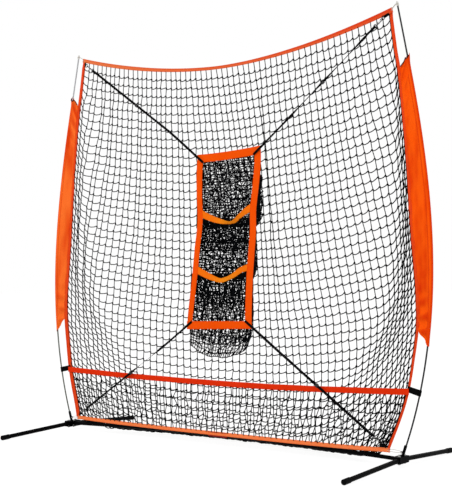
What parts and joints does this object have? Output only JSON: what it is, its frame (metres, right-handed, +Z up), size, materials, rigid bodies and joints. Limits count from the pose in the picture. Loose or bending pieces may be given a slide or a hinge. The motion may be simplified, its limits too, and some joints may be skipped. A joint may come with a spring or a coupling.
{
  "type": "pitching target net",
  "caption": "Free-standing bowed net with a pocketed strike target hung on straps, held by bent poles on a crossbar with folding legs.",
  "frame": {"origin": "centre of the footprint, on the surface that the leg caps rest on", "axes": "+X across the net to the right as the thrower sees it, -Y towards the thrower, +Z up"},
  "size_m": [2.3976, 1.051, 2.1467],
  "materials": {
    "black_cord": "black braided cord",
    "black_webbing": "black polypropylene webbing",
    "cap_rubber": "matt black moulding",
    "cord": "pale braided cord",
    "lip_webbing": "yellow-orange lip binding",
    "net_twine": "black knotted twine",
    "orange_fabric": "orange coated polyester",
    "pocket_mesh": "black fine mesh",
    "pole_glassfibre": "dark grey pultruded glass fibre",
    "powder_coat": "black satin powder coat",
    "red_webbing": "red-orange webbing",
    "slider_plastic": "black acetal",
    "tip_plastic": "pale grey moulding",
    "trim_webbing": "folded orange binding",
    "zinc": "bright zinc plate"
  },
  "bodies": {
    "root": {"crossbar_centre": "powder_coat", "crossbar_left": "powder_coat", "crossbar_right": "powder_coat", "snap_springs": "zinc", "left_hub": "powder_coat", "right_hub": "powder_coat", "hub_bolts": "zinc", "left_lower_pole": "pole_glassfibre", "left_middle_pole": "pole_glassfibre", "left_upper_pole": "pole_glassfibre", "right_lower_pole": "pole_glassfibre", "right_middle_pole": "pole_glassfibre", "right_upper_pole": "pole_glassfibre", "pole_ferrules": "zinc", "pole_tips": "tip_plastic", "left_wing": "orange_fabric", "right_wing": "orange_fabric", "top_trim": "trim_webbing", "bottom_trim": "trim_webbing", "left_trim": "trim_webbing", "right_trim": "trim_webbing", "net_panel": "net_twine", "net_apron": "net_twine", "catch_strap": "red_webbing", "pole_wraps": "black_webbing", "base_tie": "red_webbing", "corner_loops": "cord", "corner_ties": "black_cord", "corner_tabs": "black_webbing", "corner_rings": "zinc", "target_frame": "orange_fabric", "upper_divider": "lip_webbing", "lower_divider": "lip_webbing", "top_pocket": "pocket_mesh", "middle_pocket": "pocket_mesh", "bottom_pocket": "pocket_mesh", "upper_left_strap": "black_webbing", "upper_right_strap": "black_webbing", "lower_left_strap": "black_webbing", "lower_right_strap": "black_webbing", "strap_hooks": "zinc"},
    "left_front_leg": {"left_front_leg": "powder_coat", "left_front_cap": "cap_rubber"},
    "left_rear_leg": {"left_rear_leg": "powder_coat", "left_rear_cap": "cap_rubber"},
    "left_snap_button": {"left_snap_button": "zinc"},
    "right_front_leg": {"right_front_leg": "powder_coat", "right_front_cap": "cap_rubber"},
    "right_rear_leg": {"right_rear_leg": "powder_coat", "right_rear_cap": "cap_rubber"},
    "right_snap_button": {"right_snap_button": "zinc"},
    "upper_left_slider": {"upper_left_slider": "slider_plastic"},
    "upper_left_gate": {"upper_left_gate": "zinc"},
    "upper_right_slider": {"upper_right_slider": "slider_plastic"},
    "upper_right_gate": {"upper_right_gate": "zinc"},
    "lower_left_slider": {"lower_left_slider": "slider_plastic"},
    "lower_left_gate": {"lower_left_gate": "zinc"},
    "lower_right_slider": {"lower_right_slider": "slider_plastic"},
    "lower_right_gate": {"lower_right_gate": "zinc"}
  },
  "joints": [
    {"name": "left_front_leg_fold", "type": "hinge", "parent": "root", "child": "left_front_leg", "pos_m": [-1.045, -0.027, 0.036], "axis": [0, 0, 1], "range_deg": [0, 90]},
    {"name": "left_rear_leg_fold", "type": "hinge", "parent": "root", "child": "left_rear_leg", "pos_m": [-1.045, 0.027, 0.036], "axis": [0, 0, -1], "range_deg": [0, 90]},
    {"name": "left_snap_button_press", "type": "slide", "parent": "root", "child": "left_snap_button", "axis": [0, -1, 0], "range_m": [0, 0.0032], "stiffness_N_per_m": 2500, "springref_m": -0.0012},
    {"name": "right_front_leg_fold", "type": "hinge", "parent": "root", "child": "right_front_leg", "pos_m": [1.045, -0.027, 0.036], "axis": [0, 0, -1], "range_deg": [0, 90]},
    {"name": "right_rear_leg_fold", "type": "hinge", "parent": "root", "child": "right_rear_leg", "pos_m": [1.045, 0.027, 0.036], "axis": [0, 0, 1], "range_deg": [0, 90]},
    {"name": "right_snap_button_press", "type": "slide", "parent": "root", "child": "right_snap_button", "axis": [0, -1, 0], "range_m": [0, 0.0032], "stiffness_N_per_m": 2500, "springref_m": -0.0012},
    {"name": "upper_left_slider_slide", "type": "slide", "parent": "root", "child": "upper_left_slider", "axis": [0.8032, 0.0764, -0.5907], "range_m": [-0.3, 0.25]},
    {"name": "upper_left_gate_open", "type": "hinge", "parent": "root", "child": "upper_left_gate", "pos_m": [-0.92776, 0.00842, 2.05848], "axis": [-0.5881, -0.0559, -0.8069], "range_deg": [0, 26], "stiffness_Nm_per_rad": 0.02, "springref_deg": -11.46},
    {"name": "upper_right_slider_slide", "type": "slide", "parent": "root", "child": "upper_right_slider", "axis": [-0.8032, 0.0764, -0.5907], "range_m": [-0.3, 0.25]},
    {"name": "upper_right_gate_open", "type": "hinge", "parent": "root", "child": "upper_right_gate", "pos_m": [0.92776, 0.00842, 2.05848], "axis": [-0.5881, 0.0559, 0.8069], "range_deg": [0, 26], "stiffness_Nm_per_rad": 0.02, "springref_deg": -11.46},
    {"name": "lower_left_slider_slide", "type": "slide", "parent": "root", "child": "lower_left_slider", "axis": [0.8267, 0.0377, 0.5614], "range_m": [-0.3, 0.25]},
    {"name": "lower_left_gate_open", "type": "hinge", "parent": "root", "child": "lower_left_gate", "pos_m": [-0.9256, -0.02536, 0.12095], "axis": [0.5608, 0.0256, -0.8276], "range_deg": [0, 26], "stiffness_Nm_per_rad": 0.02, "springref_deg": -11.46},
    {"name": "lower_right_slider_slide", "type": "slide", "parent": "root", "child": "lower_right_slider", "axis": [-0.8267, 0.0377, 0.5614], "range_m": [-0.3, 0.25]},
    {"name": "lower_right_gate_open", "type": "hinge", "parent": "root", "child": "lower_right_gate", "pos_m": [0.9256, -0.02536, 0.12095], "axis": [0.5608, -0.0256, 0.8276], "range_deg": [0, 26], "stiffness_Nm_per_rad": 0.02, "springref_deg": -11.46}
  ]
}
